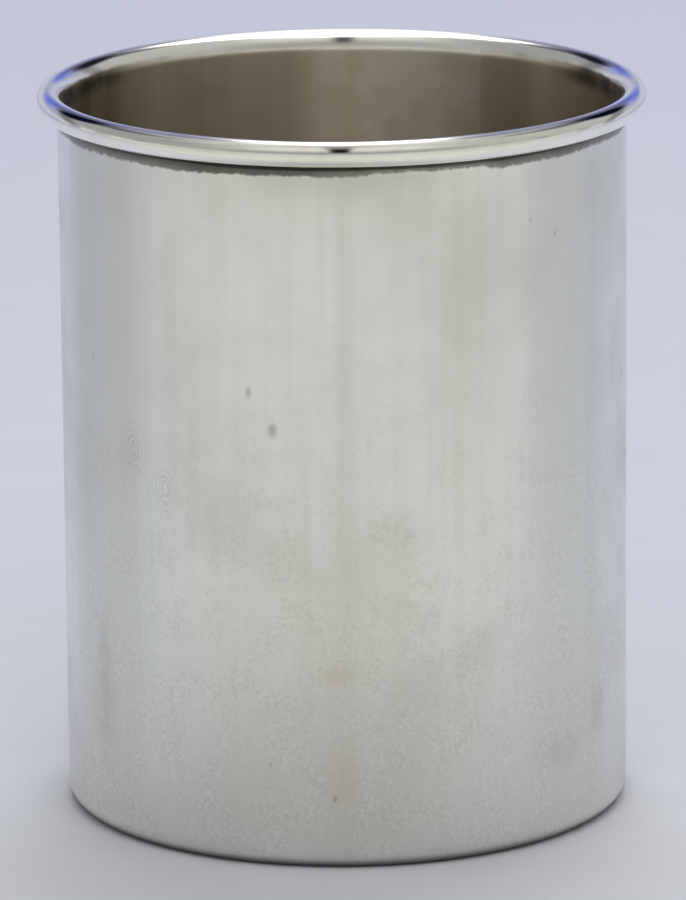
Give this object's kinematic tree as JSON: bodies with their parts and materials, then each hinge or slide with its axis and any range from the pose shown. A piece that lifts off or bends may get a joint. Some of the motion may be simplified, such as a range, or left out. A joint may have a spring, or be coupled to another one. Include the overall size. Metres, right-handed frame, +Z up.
{
  "type": "juice cup",
  "caption": "Small straight-sided silver juice cup with a domed base, turned-up base edge and a rounded wire soldered round the lip.",
  "frame": {"origin": "centre of the base, on the surface that the cup stands on", "axes": "+Z up along the cup's axis; -Y is the side that the picture shows; the soldered seam of the wall is at the back, 59 degrees from +X towards +Y"},
  "size_m": [0.0688, 0.0688, 0.0825],
  "materials": {
    "satin_wall": "sterling silver sheet, worn satin with a light tarnish",
    "satin_base": "sterling silver sheet, satin, with the scratches of use on the standing ring",
    "polished_rim": "sterling silver wire, mirror polished by use",
    "wall_solder": "silver solder filed flush with the sheet",
    "tarnished_solder": "silver solder, dark with tarnish in the corner under the rim"
  },
  "bodies": {
    "root": {"side_wall": "satin_wall", "wall_seam_solder": "wall_solder", "base_pan": "satin_base", "base_joint_solder": "wall_solder", "rim_wire": "polished_rim", "rim_wire_joint_solder": "polished_rim", "rim_solder_line": "tarnished_solder"}
  },
  "joints": []
}
